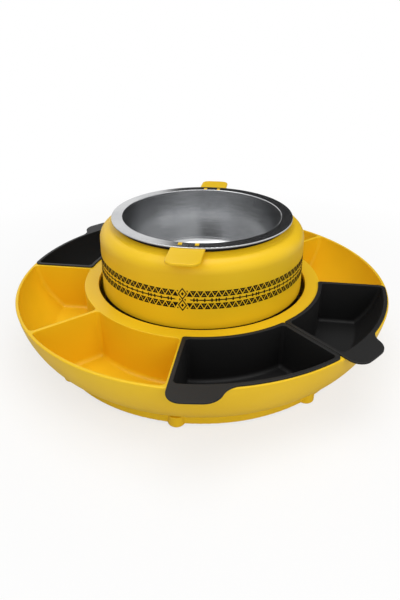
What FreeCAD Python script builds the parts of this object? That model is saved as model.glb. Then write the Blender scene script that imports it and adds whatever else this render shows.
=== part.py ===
"""Heated serving dish: a pot in a drum-shaped heater housing, and a round dish of eight
compartments with lift-out trays that turns round it on a ball race.

Millimetres. +Z is up and -Y is the front. The origin is on the vertical axis, at the
surface that the object stands on. A direction round the axis is an angle from +X towards
+Y, so the front is at -90 degrees.
"""
import FreeCAD, Part
import math
import os
import re
import Sketcher

SIZES = {
    # Dish: outside of the bowl, walls and hub
    "rim_radius": 210,
    "rim_height": 72,
    "bowl_arc": 83.5,
    "bowl_lean": 5,
    "dish_wall": 3.2,
    "dish_base": 14,
    "dish_floor": 2.5,
    "hub_inset": 9,
    "hub_wall": 2.5,
    "collar_gap": 5,
    "collar_wall": 2.5,
    "skirt_depth": 5,
    "compartments": 8,
    "divider_wall": 3.6,
    "gusset_wall": 2.5,
    "dish_round": 5,
    "rim_round": 1.2,
    "edge_round": 0.8,
    # Lift-out trays
    "tray_gap": 0.6,
    "tray_wall": 1.8,
    "tray_clearance": 5.5,
    "tray_round": 6,
    "flange_sheet": 1.6,
    "flange_side": 0.3,
    "flange_lap": 1.5,
    "rim_margin": 1.6,
    "tab_reach": 17.6,
    "tab_corner": 13,
    "tab_end": 8.2,
    "tab_sweep": 18,
    "flange_corner": 6,
    "flange_nose": 3,
    "flange_round": 0.6,
    # Base pan and its feet
    "ring_inset": 33,
    "ring_draft": 1.8,
    "ring_edge": 2,
    "ring_gap": 0.6,
    "pan_wall": 2.5,
    "pan_base": 3,
    "pan_floor": 2.5,
    "foot_inset": 4.5,
    "foot_radius": 8.5,
    "foot_rise": 0.8,
    "foot_round": 2,
    "pad_radius": 5.4,
    "pad_fit": 0.1,
    "pad_recess": 1.2,
    "rib_wall": 2,
    "rib_rise": 6,
    "vent_count": 12,
    "vent_width": 2.5,
    "vent_start": 22,
    "vent_end": 46,
    # Way in for the mains cord
    "cord_angle": 112.5,
    "gland_width": 12,
    "gland_rise": 7,
    "gland_wall": 1.3,
    "gland_lip": 0.4,
    "gland_fit": 0.1,
    "gland_bore_width": 8.4,
    "gland_bore_rise": 4.4,
    "gland_bore_round": 2,
    # Ball race under the dish
    "race_inset": 7,
    "race_width": 10,
    "race_sheet": 2.5,
    "race_overhang": 0.5,
    "pedestal_wall": 2.2,
    "key_wall": 1.8,
    "key_fit": 0.3,
    "key_depth": 2,
    "ball_radius": 3,
    "ball_play": 0.1,
    "ball_count": 16,
    "groove_depth": 0.6,
    "cage_sheet": 1.2,
    "cage_margin": 0.4,
    "cage_play": 0.15,
    "lug_count": 4,
    "lug_width": 3,
    "lug_rise": 4,
    "lug_fit": 0.4,
    # Heater housing and the ring that seats the pot
    "housing_radius": 115,
    "housing_draft": 1.6,
    "housing_wall": 2.5,
    "housing_drop": 2.4,
    "shoulder_round": 13,
    "opening_inset": 21.6,
    "boss_count": 4,
    "boss_inset": 11,
    "boss_radius": 4.5,
    "brace_rise": 26,
    "web_wall": 2.2,
    "sleeve_inset": 1.2,
    "sleeve_wall": 2.9,
    "spigot_rise": 5,
    "spigot_fit": 0.3,
    "seat_gap": 0.4,
    "seat_wall": 4.4,
    "seat_lip": 4,
    "seat_lip_rise": 3.5,
    "seat_height": 147.6,
    "seat_rise": 7.6,
    "notch_fit": 0.5,
    # Pot and its two handles
    "pot_lap": 6.5,
    "pot_fit": 0.6,
    "pot_draft": 4,
    "pot_depth": 69.5,
    "pot_sheet": 0.8,
    "pot_flange": 1.3,
    "pot_round": 10,
    "pot_lip_round": 0.6,
    "handle_width": 33.2,
    "handle_run": 33.2,
    "handle_sheet": 3,
    "handle_gap": 0.4,
    "handle_corner": 9,
    "handle_round": 0.9,
    "stud_inset": 3.1,
    "stud_spread": 8.2,
    "stud_width": 3.7,
    "stud_length": 4.5,
    "stud_rise": 0.4,
    "stud_fit": 0.15,
    # Liner, heating plate and what carries them
    "liner_inset": 2,
    "liner_sheet": 0.6,
    "liner_lip": 6,
    "spacer_rise": 9.2,
    "liner_round": 8,
    "liner_hole": 30,
    "post_count": 3,
    "post_circle": 62,
    "post_radius": 6,
    "spacer_radius": 5,
    "bolt_radius": 2,
    "bolt_fit": 0.2,
    "bolt_grip": 5,
    "plate_radius": 70,
    "plate_sheet": 8,
    "plate_gap": 0.3,
    "plate_round": 1.5,
    "screw_radius": 1.5,
    "screw_grip": 14,
    "head_radius": 3.5,
    "head_rise": 2.1,
    # Heating element, its controls and its leads
    "element_circle": 46,
    "element_radius": 3.3,
    "element_opening": 40,
    "element_bend": 9,
    "element_drop": 6,
    "element_fit": 1.2,
    "thermostat_radius": 8,
    "thermostat_rise": 9,
    "blade_width": 4.8,
    "blade_sheet": 0.8,
    "blade_drop": 7,
    "fuse_offset": 26,
    "fuse_radius": 2.2,
    "fuse_length": 20,
    "fuse_fit": 0.15,
    "clip_width": 6,
    "clip_sheet": 0.8,
    "clip_foot": 5,
    "block_inset": 31,
    "block_width": 30,
    "block_length": 14,
    "block_rise": 14,
    "block_pitch": 14,
    "lead_radius": 1.6,
    "lead_run": 16,
    "lead_rise": 9,
}

# How far the outline of a cut runs past what it cuts
OVERRUN = "1"

# A stretch of outline that bends to the left or to the right of its own direction
LEFT, RIGHT = 1, -1

# Places worked out from the sizes
PITCH = "(360 / compartments)"
COLLAR_RADIUS = "(housing_radius + collar_gap)"
RACE_CIRCLE = f"({COLLAR_RADIUS} + race_inset)"
HUB_RADIUS = f"({RACE_CIRCLE} + hub_inset)"
BOWL_X = "(rim_radius - bowl_arc * cos(bowl_lean))"
BOWL_Z = "(rim_height + bowl_arc * sin(bowl_lean))"
DISH_FLOOR = "(dish_base + dish_floor)"
HUB_INNER = f"({HUB_RADIUS} - hub_wall)"
HUB_MIDDLE = f"({HUB_RADIUS} - hub_wall / 2)"
SKIRT_OUTER = f"({COLLAR_RADIUS} + collar_wall)"
COLLAR_UNDER = "(rim_height - collar_wall)"
FLANGE_TOP = "(rim_height + flange_sheet)"
TRAY_BASE = f"({DISH_FLOOR} + tray_clearance)"
PAN_TOP = "(pan_base + pan_floor)"
RING_RADIUS = "(rim_radius - ring_inset)"
RING_TOP = "(dish_base - ring_gap)"
FOOT_CIRCLE = f"({RING_RADIUS} - foot_inset)"
RACE_INNER = f"({RACE_CIRCLE} - race_width / 2)"
RACE_OUTER = f"({RACE_CIRCLE} + race_width / 2)"
BALL_STAND = "(ball_radius + ball_play - groove_depth)"
GROOVE_HALF = f"sqrt((ball_radius + ball_play)^2 - {BALL_STAND}^2)"
LOWER_TOP = "(dish_base + race_sheet)"
BALL_HEIGHT = f"({LOWER_TOP} + {BALL_STAND})"
UPPER_BASE = f"({BALL_HEIGHT} + {BALL_STAND})"
UPPER_TOP = f"({UPPER_BASE} + race_sheet)"
OPENING_RADIUS = "(housing_radius - opening_inset)"
BOSS_CIRCLE = "(housing_radius - boss_inset)"
HOUSING_TOP = "(seat_height - seat_rise)"
HOUSING_FOOT = "(rim_height - housing_drop)"
SLEEVE_RADIUS = "(housing_radius - sleeve_inset)"
SPIGOT_RADIUS = "(housing_radius - housing_wall - spigot_fit)"
SPIGOT_TOP = f"({HOUSING_FOOT} + spigot_rise)"
SEAT_RADIUS = f"({OPENING_RADIUS} - seat_gap)"
SEAT_LIP_TOP = f"({HOUSING_TOP} - housing_wall)"
SEAT_LIP_BASE = f"({SEAT_LIP_TOP} - seat_lip_rise)"
POT_RADIUS = f"({SEAT_RADIUS} - seat_wall - pot_fit)"
POT_RIM_RADIUS = f"({SEAT_RADIUS} + pot_lap)"
POT_TOP = "(seat_height + pot_flange)"
POT_BASE = "(seat_height - pot_depth)"
PLATE_TOP = f"({POT_BASE} - plate_gap)"
PLATE_BASE = f"({PLATE_TOP} - plate_sheet)"
LINER_BASE = f"({PLATE_BASE} - spacer_rise - liner_sheet)"
LINER_RADIUS = f"({SEAT_RADIUS} - liner_inset)"
STUD_CIRCLE = f"({POT_RADIUS} + stud_inset)"
HANDLE_REACH = f"({POT_RIM_RADIUS} + handle_run)"
HEAD_BASE = "(pan_base - head_rise)"
GLAND_HEIGHT = f"(({PAN_TOP} + {RING_TOP}) / 2)"
FUSE_HEIGHT = f"({PLATE_BASE} - fuse_radius - fuse_fit)"
BOSS_ANGLE = "(180 / boss_count)"
POST_ANGLE = "(cord_angle + 180 / post_count)"
BLOCK_CIRCLE = "(housing_radius - block_inset)"
BLOCK_SIDES = ("block_pitch / 2", "-block_pitch / 2")

doc = FreeCAD.newDocument("heated_serving_dish")
sheet = doc.addObject("Spreadsheet::Sheet", "sizes")
for row, (size_name, size_value) in enumerate(SIZES.items(), 1):
    sheet.set(f"A{row}", size_name)
    sheet.set(f"B{row}", str(size_value))
    sheet.setAlias(f"B{row}", size_name)
doc.recompute()


def bound(expression):
    """The expression with each size name pointed at the sheet."""
    return re.sub(r"[a-z_]+", lambda word: "sizes." + word.group()
                  if word.group() in SIZES else word.group(), expression)


def value(expression):
    """The number that an expression of sizes comes to."""
    return float(sheet.evalExpression(expression))


def bowl_at(height, inset):
    """Radius of the bowl's outside, or of a surface inset from it, at a height."""
    return (f"({BOWL_X} + sqrt((bowl_arc - ({inset}))^2"
            f" - ({BOWL_Z} - ({height}))^2))")


def turned(along, across, angle):
    """Corner given along and to the left of a line at an angle to +X."""
    return (f"({along}) * cos({angle}) - ({across}) * sin({angle})",
            f"({along}) * sin({angle}) + ({across}) * cos({angle})")


def box(x_low, x_high, y_low, y_high, angle=None):
    """Corners of a rectangle, laid along a line at an angle to +X if one is given."""
    corners = [(x_low, y_low), (x_high, y_low), (x_high, y_high), (x_low, y_high)]
    return [turned(*corner, angle) for corner in corners] if angle else corners


def round_box(x_low, x_high, y_low, y_high, corner):
    """Corners of a rectangle with rounded corners."""
    return [(f"{x_low} + {corner}", y_low, corner, LEFT),
            (f"{x_high} - {corner}", y_low),
            (x_high, f"{y_low} + {corner}", corner, LEFT),
            (x_high, f"{y_high} - {corner}"),
            (f"{x_high} - {corner}", y_high, corner, LEFT),
            (f"{x_low} + {corner}", y_high),
            (x_low, f"{y_high} - {corner}", corner, LEFT),
            (x_low, f"{y_low} + {corner}")]


def draw_loop(sketch, corners):
    """Closed outline. A corner is x, y, or x, y, radius, LEFT or RIGHT: the stretch that
    arrives at it is then an arc."""
    places = [FreeCAD.Vector(value(corner[0]), value(corner[1]), 0) for corner in corners]
    up = FreeCAD.Vector(0, 0, 1)
    first = sketch.GeometryCount
    shapes = []
    ends = []
    for index, corner in enumerate(corners):
        start, end = places[index - 1], places[index]
        if len(corner) == 2:
            shapes.append(Part.LineSegment(start, end))
            ends.append((1, 2))
            continue
        radius, side = value(corner[2]), corner[3]
        chord = end - start
        rise = math.sqrt(radius ** 2 - chord.Length ** 2 / 4)
        across = FreeCAD.Vector(-chord.y, chord.x, 0) / chord.Length
        centre = (start + end) / 2 + across * rise * side
        low, high = (start, end) if side == LEFT else (end, start)
        low_angle = math.atan2(low.y - centre.y, low.x - centre.x)
        high_angle = math.atan2(high.y - centre.y, high.x - centre.x)
        if high_angle < low_angle:
            high_angle += 2 * math.pi
        circle = Part.Circle(centre, up, radius)
        shapes.append(Part.ArcOfCircle(circle, low_angle, high_angle))
        ends.append((1, 2) if side == LEFT else (2, 1))
    sketch.addGeometry(shapes, False)
    for index, corner in enumerate(corners):
        shape, point = first + index, ends[index][1]
        following = (index + 1) % len(corners)
        sketch.addConstraint(Sketcher.Constraint(
            "Coincident", shape, point, first + following, ends[following][0]))
        for kind, axis, size in (("DistanceX", -2, corner[0]), ("DistanceY", -1, corner[1])):
            if size == "0":
                sketch.addConstraint(
                    Sketcher.Constraint("PointOnObject", shape, point, axis))
            else:
                bind_constraint(sketch, Sketcher.Constraint(
                    kind, shape, point, value(size)), size)
        if len(corner) > 2:
            bind_constraint(sketch, Sketcher.Constraint(
                "Radius", shape, value(corner[2])), corner[2])


def draw_circle(sketch, x, y, radius):
    """Circle about a bound centre."""
    centre = FreeCAD.Vector(value(x), value(y), 0)
    shape = sketch.addGeometry(
        Part.Circle(centre, FreeCAD.Vector(0, 0, 1), value(radius)), False)
    for kind, axis, size in (("DistanceX", -2, x), ("DistanceY", -1, y)):
        if size == "0":
            sketch.addConstraint(Sketcher.Constraint("PointOnObject", shape, 3, axis))
        else:
            bind_constraint(sketch, Sketcher.Constraint(kind, shape, 3, value(size)), size)
    bind_constraint(sketch, Sketcher.Constraint("Radius", shape, value(radius)), radius)


def bind_constraint(sketch, constraint, expression):
    """Adds a constraint and ties its size to the sheet."""
    index = sketch.addConstraint(constraint)
    sketch.setExpression(f"Constraints[{index}]", bound(expression))


def new_body(label):
    """Empty body with a name of its own."""
    body = doc.addObject("PartDesign::Body", label)
    body.Label = label
    return body


def origin_part(body, role):
    """One of a body's own origin planes or axes."""
    return next(item for item in body.Origin.OriginFeatures if item.Role == role)


def new_sketch(body, role, shapes, height=None):
    """Sketch on an origin plane, or at a height over it. A shape of three plain sizes is
    a circle, and any other is a closed outline."""
    sketch = body.newObject("Sketcher::SketchObject", f"{body.Name}_sketch")
    sketch.AttachmentSupport = [(origin_part(body, role), "")]
    sketch.MapMode = "FlatFace"
    if height:
        sketch.setExpression("AttachmentOffset.Base.z", bound(height))
    for shape in shapes:
        if isinstance(shape, tuple):
            draw_circle(sketch, *shape)
        else:
            draw_loop(sketch, shape)
    return sketch


def revolve(body, corners, angle=None, cut=False):
    """Turns an outline of radius and height about the vertical axis."""
    kind = "Groove" if cut else "Revolution"
    sketch = new_sketch(body, "XZ_Plane", [corners])
    feature = body.newObject(f"PartDesign::{kind}", f"{body.Name}_{kind.lower()}")
    feature.Profile = sketch
    feature.ReferenceAxis = (sketch, ["V_Axis"])
    feature.Angle = 360
    if angle:
        feature.setExpression("Angle", bound(angle))
    return feature


def raise_up(body, shapes, base, rise, cut=False):
    """Pads plan outlines up from a height, or cuts them out of the body."""
    kind = "Pocket" if cut else "Pad"
    feature = body.newObject(f"PartDesign::{kind}", f"{body.Name}_{kind.lower()}")
    feature.Profile = new_sketch(body, "XY_Plane", shapes, base)
    feature.setExpression("Length", bound(rise))
    feature.Reversed = cut
    return feature


def web(body, corners, wall):
    """Upright wall through the axis with an outline of radius and height."""
    feature = body.newObject("PartDesign::Pad", f"{body.Name}_web")
    feature.Profile = new_sketch(body, "XZ_Plane", [corners])
    feature.setExpression("Length", bound(wall))
    feature.Midplane = True
    return feature


def repeat_round(body, features, count):
    """Repeats features evenly round the vertical axis."""
    pattern = body.newObject("PartDesign::PolarPattern", f"{body.Name}_pattern")
    pattern.Originals = features
    pattern.Axis = (origin_part(body, "Z_Axis"), [""])
    pattern.Angle = 360
    pattern.setExpression("Occurrences", bound(count))
    body.Tip = pattern
    return pattern


def extent(edge):
    """Least and greatest height, and least and greatest distance from the axis."""
    points = edge.discretize(5)
    heights = [point.z for point in points]
    radii = [math.hypot(point.x, point.y) for point in points]
    return min(heights), max(heights), min(radii), max(radii)


def round_edges(body, radius, wanted):
    """Rounds the edges of the body's last shape whose extent is wanted."""
    doc.recompute()
    base = body.Tip
    names = [f"Edge{number}" for number, edge in enumerate(base.Shape.Edges, 1)
             if not edge.Degenerated and wanted(*extent(edge))]
    if not names:
        raise ValueError(f"{body.Label}: no edge to round")
    fillet = body.newObject("PartDesign::Fillet", f"{body.Name}_fillet")
    fillet.Base = (base, names)
    fillet.setExpression("Radius", bound(radius))
    return fillet


def same(one, other):
    """Whether two lengths are the same but for rounding."""
    return abs(one - other) < 0.01


def set_angle(item, angle):
    """Turns a finished piece about the vertical axis."""
    item.Placement = FreeCAD.Placement(
        FreeCAD.Vector(0, 0, 0), FreeCAD.Rotation(FreeCAD.Vector(0, 0, 1), 1))
    item.setExpression("Placement.Rotation.Angle", bound(angle))


def serving_dish():
    """Bowl, hub and collar in one turned wall, with dividers and gussets."""
    body = new_body("serving_dish")
    revolve(body, [
        (COLLAR_RADIUS, "rim_height - skirt_depth"),
        (SKIRT_OUTER, "rim_height - skirt_depth"),
        (SKIRT_OUTER, COLLAR_UNDER),
        (HUB_INNER, COLLAR_UNDER),
        (HUB_INNER, "dish_base"),
        (bowl_at("dish_base", "0"), "dish_base"),
        ("rim_radius", "rim_height", "bowl_arc", LEFT),
        (COLLAR_RADIUS, "rim_height")])
    revolve(body, [
        (HUB_RADIUS, DISH_FLOOR),
        (bowl_at(DISH_FLOOR, "dish_wall"), DISH_FLOOR),
        (bowl_at("rim_height", "dish_wall"), "rim_height", "bowl_arc - dish_wall", LEFT),
        (HUB_RADIUS, "rim_height")], cut=True)
    in_floor = "(dish_base + dish_floor / 2)"
    in_wall = "dish_wall / 2"
    divider = web(body, [
        (HUB_MIDDLE, in_floor),
        (bowl_at(in_floor, in_wall), in_floor),
        (bowl_at("rim_height", in_wall), "rim_height", f"bowl_arc - {in_wall}", LEFT),
        (HUB_MIDDLE, "rim_height")], "divider_wall")
    repeat_round(body, [divider], "compartments")
    in_collar = "rim_height - collar_wall / 2"
    gusset = web(body, box(f"{COLLAR_RADIUS} + collar_wall / 2", HUB_MIDDLE,
                           UPPER_TOP, in_collar), "gusset_wall")
    repeat_round(body, [gusset], "compartments")
    floor, rim = value(DISH_FLOOR), value("rim_height")
    hub, outside = value(HUB_RADIUS), value("rim_radius")
    round_edges(body, "dish_round", lambda low, high, near, far:
                near > hub - 0.01 and low > floor - 0.01 and low < rim - 1)
    round_edges(body, "rim_round", lambda low, high, near, far:
                same(low, rim) and same(near, outside))
    round_edges(body, "edge_round", lambda low, high, near, far:
                same(low, rim) and far < outside - value("rim_round") - 0.1)
    return body


def sector_block(body, inset, base, top, corner):
    """Solid that follows a compartment's walls at an inset, from the first divider at +X
    to the next one."""
    inner = f"({HUB_RADIUS} + ({inset}))"
    side = f"(divider_wall / 2 + ({inset}))"
    curve = f"(dish_wall + ({inset}))"
    revolve(body, [
        (inner, base),
        (bowl_at(base, curve), base),
        (bowl_at(top, curve), top, f"bowl_arc - {curve}", LEFT),
        (inner, top)], angle=PITCH)
    raise_up(body, [
        box(f"{HUB_RADIUS} / 2", "rim_radius", f"-{OVERRUN}", side),
        box(f"{HUB_RADIUS} / 2", "rim_radius", f"-{side}", OVERRUN, PITCH)],
        f"{base} - {OVERRUN}", f"{top} - {base} + 2 * {OVERRUN}", cut=True)
    highest = value(top)
    round_edges(body, corner, lambda low, high, near, far: low < highest - 1)


def flange_outline():
    """Plan of a tray's flange: a sector with a finger tab past the rim at its first end."""
    side = "flange_side"
    inner = f"({HUB_RADIUS} - flange_lap)"
    outer = "(rim_radius - rim_margin)"
    reach = "(rim_radius + tab_reach)"
    corner_x = f"sqrt(({reach} - tab_corner)^2 - ({side} + tab_corner)^2)"
    stretch = f"({reach} / ({reach} - tab_corner))"
    convex = f"({reach} - tab_sweep)"
    concave = f"({outer} + tab_sweep)"
    end = (f"(tab_end * 1 deg + acos(({convex}^2 + {concave}^2"
           f" - (2 * tab_sweep)^2) / (2 * {convex} * {concave})))")
    inner_x = f"sqrt({inner}^2 - {side}^2)"
    outer_x = f"sqrt({outer}^2 - {side}^2)"
    return [
        (inner_x, side, inner, RIGHT),
        (corner_x, side),
        (f"{corner_x} * {stretch}", f"({side} + tab_corner) * {stretch}",
         "tab_corner", LEFT),
        (f"{reach} * cos(tab_end)", f"{reach} * sin(tab_end)", reach, LEFT),
        (f"({convex} * cos(tab_end) + {concave} * cos({end})) / 2",
         f"({convex} * sin(tab_end) + {concave} * sin({end})) / 2", "tab_sweep", LEFT),
        (f"{outer} * cos({end})", f"{outer} * sin({end})", "tab_sweep", RIGHT),
        (*turned(outer_x, f"-{side}", PITCH), outer, LEFT),
        turned(inner_x, f"-{side}", PITCH)]


def tray(number, compartment):
    """Black tray that hangs by its flange in the compartment of that number, counted from
    the front."""
    body = new_body(f"tray_{number}")
    sector_block(body, "tray_gap", TRAY_BASE, FLANGE_TOP, "tray_round")
    raise_up(body, [flange_outline()], "rim_height", "flange_sheet")
    inner = value(f"{HUB_RADIUS} - flange_lap")
    outer = value("rim_radius - rim_margin")
    rim, top = value("rim_height"), value(FLANGE_TOP)
    round_edges(body, "flange_nose", lambda low, high, near, far:
                same(low, rim) and same(high, top) and same(far, inner))
    round_edges(body, "flange_corner", lambda low, high, near, far:
                same(low, rim) and same(high, top) and same(near, outer)
                and same(far, outer))
    core = new_body(f"tray_core_{number}")
    sector_block(core, "tray_gap + tray_wall", f"({TRAY_BASE} + tray_wall)",
                 f"({FLANGE_TOP} + {OVERRUN})", "tray_round - tray_wall")
    hollow = body.newObject("PartDesign::Boolean", f"{body.Name}_hollow")
    hollow.Type = "Cut"
    hollow.setObjects([core])
    round_edges(body, "flange_round", lambda low, high, near, far:
                same(low, top) and same(high, top))
    set_angle(body, f"{compartment} * {PITCH} - 90")
    return body


def base_pan():
    """Floor, ring wall and the two walls that carry the race, with feet under the rim."""
    body = new_body("base_pan")
    ring_foot = f"({RING_RADIUS} - ring_draft)"
    wall_out = f"({RACE_OUTER} + race_overhang)"
    wall_in = f"({RACE_INNER} - race_overhang)"
    revolve(body, [
        ("0", "pan_base"),
        (f"{ring_foot} - pan_wall - (pan_base - ring_edge)", "pan_base"),
        (f"{ring_foot} - pan_wall", "ring_edge"),
        (ring_foot, "ring_edge"),
        (RING_RADIUS, RING_TOP),
        (f"{RING_RADIUS} - pan_wall", RING_TOP),
        (f"{ring_foot} - pan_wall", PAN_TOP),
        (wall_out, PAN_TOP),
        (wall_out, "dish_base"),
        (f"{wall_out} - pedestal_wall", "dish_base"),
        (f"{wall_out} - pedestal_wall", PAN_TOP),
        (f"{wall_in} + pedestal_wall", PAN_TOP),
        (f"{wall_in} + pedestal_wall", "dish_base"),
        (wall_in, "dish_base"),
        (wall_in, PAN_TOP),
        ("0", PAN_TOP)])
    edge, outside = value("ring_edge"), value(ring_foot)
    round_edges(body, "edge_round", lambda low, high, near, far:
                same(high, edge) and same(near, outside))
    boss = raise_up(body, [(FOOT_CIRCLE, "0", "foot_radius")],
                    "foot_rise", f"{RING_TOP} - foot_rise")
    rib = raise_up(body, [box(f"{wall_out} - pedestal_wall / 2", FOOT_CIRCLE,
                              "-rib_wall / 2", "rib_wall / 2")],
                   f"({PAN_TOP} - pan_floor / 2)", "rib_rise + pan_floor / 2")
    repeat_round(body, [boss, rib], "compartments")
    foot = value("foot_rise")
    round_edges(body, "foot_round", lambda low, high, near, far: same(high, foot))
    recess = raise_up(body, [(FOOT_CIRCLE, "0", "pad_radius + pad_fit")],
                      f"foot_rise - {OVERRUN}", f"pad_recess + {OVERRUN}", cut=True)
    repeat_round(body, [recess], "compartments")
    vent = raise_up(body, [box("vent_start", "vent_end", "-vent_width / 2",
                               "vent_width / 2")],
                    f"pan_base - {OVERRUN}", f"pan_floor + 2 * {OVERRUN}", cut=True)
    repeat_round(body, [vent], "vent_count")
    screw = raise_up(body, [(*turned(BOSS_CIRCLE, "0", BOSS_ANGLE),
                             "screw_radius + bolt_fit")],
                     f"pan_base - {OVERRUN}", f"pan_floor + 2 * {OVERRUN}", cut=True)
    repeat_round(body, [screw], "boss_count")
    bolt = raise_up(body, [(*turned("post_circle", "0", POST_ANGLE),
                            "bolt_radius + bolt_fit")],
                    f"pan_base - {OVERRUN}", f"pan_floor + 2 * {OVERRUN}", cut=True)
    repeat_round(body, [bolt], "post_count")
    raise_up(body, [
        box(f"{wall_in} - {OVERRUN}", f"{wall_out} + {OVERRUN}",
            "-gland_bore_width / 2 - gland_wall", "gland_bore_width / 2 + gland_wall",
            "cord_angle")],
        PAN_TOP, f"dish_base - key_depth - {PAN_TOP}", cut=True)
    half = "(gland_width / 2 + gland_fit)"
    raise_up(body, [
        box(f"{ring_foot} - pan_wall - {OVERRUN}", f"{RING_RADIUS} + {OVERRUN}",
            f"-{half}", half, "cord_angle")],
        f"({GLAND_HEIGHT} - gland_rise / 2 - gland_fit)",
        "gland_rise + 2 * gland_fit", cut=True)
    return body


def foot_pads():
    """Rubber pads in the recesses of the foot bosses."""
    body = new_body("foot_pads")
    body.AllowCompound = True
    raise_up(body, [(FOOT_CIRCLE, "0", "pad_radius")], "0", "foot_rise + pad_recess")
    repeat_round(body, [body.Tip], "compartments")
    return body


def cord_gland():
    """Rubber gland through the ring wall, with an oblong bore for a flat cord."""
    body = new_body("cord_gland")
    half, rise = "gland_width / 2", "gland_rise / 2"
    inside = f"({RING_RADIUS} - ring_draft - pan_wall - 2 * gland_wall)"
    wall_in = f"({RING_RADIUS} - ring_draft - pan_wall - gland_fit)"
    wall_out = f"({RING_RADIUS} + gland_fit)"

    def slab(start, end, lip="0"):
        feature = body.newObject("PartDesign::Pad", "cord_gland_slab")
        feature.Profile = new_sketch(body, "YZ_Plane", [round_box(
            f"-{half} - {lip}", f"{half} + {lip}",
            f"{GLAND_HEIGHT} - {rise} - {lip}", f"{GLAND_HEIGHT} + {rise} + {lip}",
            "gland_wall")], start)
        feature.setExpression("Length", bound(f"{end} - {start}"))

    slab(inside, f"({wall_out} + gland_wall)")
    slab(wall_out, f"({wall_out} + gland_wall)", "gland_lip")
    slab(inside, wall_in, "gland_lip")
    bore = body.newObject("PartDesign::Pocket", "cord_gland_bore")
    bore.Profile = new_sketch(body, "YZ_Plane", [round_box(
        "-gland_bore_width / 2", "gland_bore_width / 2",
        f"{GLAND_HEIGHT} - gland_bore_rise / 2", f"{GLAND_HEIGHT} + gland_bore_rise / 2",
        "gland_bore_round")], f"{inside} - {OVERRUN}")
    bore.setExpression("Length", bound(
        f"{wall_out} + gland_wall - {inside} + 2 * {OVERRUN}"))
    bore.Reversed = True
    set_angle(body, "cord_angle")
    return body


def lower_race():
    """Fixed race: a grooved ring with a key between the pedestal's two walls."""
    body = new_body("lower_race")
    key = f"({RACE_INNER} - race_overhang + pedestal_wall + key_fit)"
    revolve(body, [
        (RACE_INNER, "dish_base"),
        (key, "dish_base"),
        (key, "dish_base - key_depth"),
        (f"{key} + key_wall", "dish_base - key_depth"),
        (f"{key} + key_wall", "dish_base"),
        (RACE_OUTER, "dish_base"),
        (RACE_OUTER, LOWER_TOP),
        (f"{RACE_CIRCLE} + {GROOVE_HALF}", LOWER_TOP),
        (f"{RACE_CIRCLE} - {GROOVE_HALF}", LOWER_TOP, "ball_radius + ball_play", RIGHT),
        (RACE_INNER, LOWER_TOP)])
    return body


def upper_race():
    """Turning race, with pairs of lugs that take the dish's gussets between them."""
    body = new_body("upper_race")
    revolve(body, [
        (RACE_INNER, UPPER_BASE),
        (f"{RACE_CIRCLE} - {GROOVE_HALF}", UPPER_BASE),
        (f"{RACE_CIRCLE} + {GROOVE_HALF}", UPPER_BASE, "ball_radius + ball_play", RIGHT),
        (RACE_OUTER, UPPER_BASE),
        (RACE_OUTER, UPPER_TOP),
        (RACE_INNER, UPPER_TOP)])
    near = "(gusset_wall / 2 + lug_fit)"
    in_race = f"({UPPER_TOP} - race_sheet / 4)"
    lugs = raise_up(body, [
        box(f"{RACE_INNER} + edge_round", f"{RACE_OUTER} - edge_round",
            near, f"{near} + lug_width"),
        box(f"{RACE_INNER} + edge_round", f"{RACE_OUTER} - edge_round",
            f"-{near} - lug_width", f"-{near}")],
        in_race, "lug_rise + race_sheet / 4")
    repeat_round(body, [lugs], "lug_count")
    return body


def ball_cage():
    """Flat ring with a hole for each ball."""
    body = new_body("ball_cage")
    low = f"({BALL_HEIGHT} - cage_sheet / 2)"
    high = f"({BALL_HEIGHT} + cage_sheet / 2)"
    revolve(body, box(f"{RACE_INNER} + cage_margin", f"{RACE_OUTER} - cage_margin",
                      low, high))
    hole = raise_up(body, [(RACE_CIRCLE, "0", "ball_radius + cage_play")],
                    f"{low} - {OVERRUN}", f"cage_sheet + 2 * {OVERRUN}", cut=True)
    repeat_round(body, [hole], "ball_count")
    return body


def bearing_balls():
    """Balls between the races, one in each hole of the cage."""
    body = new_body("bearing_balls")
    body.AllowCompound = True
    ball = body.newObject("PartDesign::AdditiveSphere", "ball")
    ball.AttachmentSupport = [(origin_part(body, "XY_Plane"), "")]
    ball.MapMode = "FlatFace"
    ball.setExpression("Radius", bound("ball_radius"))
    ball.setExpression("AttachmentOffset.Base.x", bound(RACE_CIRCLE))
    ball.setExpression("AttachmentOffset.Base.z", bound(BALL_HEIGHT))
    repeat_round(body, [ball], "ball_count")
    return body


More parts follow.
